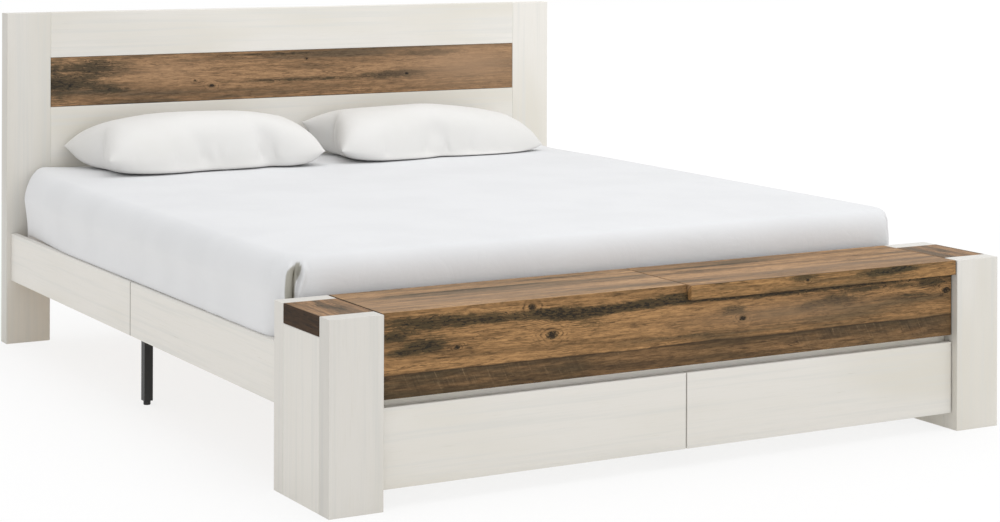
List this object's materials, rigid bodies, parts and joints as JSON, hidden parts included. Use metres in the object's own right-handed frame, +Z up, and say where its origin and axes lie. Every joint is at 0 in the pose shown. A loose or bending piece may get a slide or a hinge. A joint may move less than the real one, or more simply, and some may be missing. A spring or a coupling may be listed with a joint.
{
  "type": "bed with blanket chest footboard",
  "caption": "Panel bed for a king mattress: slatted frame, headboard with a timber band, and a footboard that is a bench-high blanket chest with a hinged lid over drawers.",
  "frame": {"origin": "on the floor under the middle of the bed's outer box", "axes": "+X to the right seen from the foot end, +Y from the blanket chest to the headboard, +Z up"},
  "size_m": [1.985, 2.401, 1.042],
  "materials": {
    "white_laminate": "matt whitewashed laminate with a faint grain",
    "brown_laminate": "matt reclaimed-oak laminate with knots and saw marks",
    "pale_wood": "bare softwood",
    "white_board": "smooth white board",
    "black_steel": "black powder coat",
    "black_plastic": "matt black",
    "zinc_steel": "zinc plated",
    "mattress_ticking": "knitted ticking",
    "sheet_cotton": "smooth percale",
    "pillow_cotton": "smooth percale"
  },
  "bodies": {
    "root": {"headboard_stile_left": "white_laminate", "headboard_stile_right": "white_laminate", "headboard_top_rail": "white_laminate", "headboard_inlay_panel": "brown_laminate", "headboard_lower_panel": "white_laminate", "headboard_back_battens": "pale_wood", "side_rail_left_head": "white_laminate", "side_rail_left_foot": "white_laminate", "side_rail_right_head": "white_laminate", "side_rail_right_foot": "white_laminate", "rail_joiner_left": "pale_wood", "rail_joiner_right": "pale_wood", "slat_ledges": "pale_wood", "centre_beam": "pale_wood", "beam_hangers": "black_steel", "support_legs": "black_steel", "leg_feet": "black_plastic", "slats_left": "pale_wood", "slats_right": "pale_wood", "rail_brackets": "black_steel", "rail_bolts": "zinc_steel", "post_left_front_panel": "white_laminate", "post_left_back_panel": "white_laminate", "post_left_outer_panel": "white_laminate", "post_left_inner_panel": "white_laminate", "post_left_cap": "brown_laminate", "post_right_front_panel": "white_laminate", "post_right_back_panel": "white_laminate", "post_right_outer_panel": "white_laminate", "post_right_inner_panel": "white_laminate", "post_right_cap": "brown_laminate", "chest_front_panel": "brown_laminate", "chest_back_panel": "white_laminate", "chest_floor": "white_laminate", "groove_rail": "white_laminate", "drawer_partition": "white_laminate", "partition_foot": "black_plastic", "chest_top_fixed": "brown_laminate", "lid_rest_rail": "pale_wood", "hinge_chest_leaves": "zinc_steel", "hinge_pins": "zinc_steel", "cabinet_channels": "zinc_steel", "mattress": "mattress_ticking", "fitted_sheet": "sheet_cotton", "pillow_left": "pillow_cotton", "pillow_right": "pillow_cotton"},
    "lid": {"lid_board": "brown_laminate", "lid_lip": "brown_laminate", "hinge_lid_leaves": "zinc_steel"},
    "drawer_left": {"drawer_left_front": "white_laminate", "drawer_left_sides": "white_board", "drawer_left_back": "white_board", "drawer_left_bottom": "white_board", "drawer_left_runners": "zinc_steel"},
    "drawer_right": {"drawer_right_front": "white_laminate", "drawer_right_sides": "white_board", "drawer_right_back": "white_board", "drawer_right_bottom": "white_board", "drawer_right_runners": "zinc_steel"}
  },
  "joints": [
    {"name": "lid_hinge", "type": "hinge", "parent": "root", "child": "lid", "pos_m": [0.42575, -0.8941, 0.435], "axis": [-1, 0, 0], "range_deg": [0, 80]},
    {"name": "drawer_left_slide", "type": "slide", "parent": "root", "child": "drawer_left", "axis": [0, -1, 0], "range_m": [0, 0.19]},
    {"name": "drawer_right_slide", "type": "slide", "parent": "root", "child": "drawer_right", "axis": [0, -1, 0], "range_m": [0, 0.19]}
  ]
}
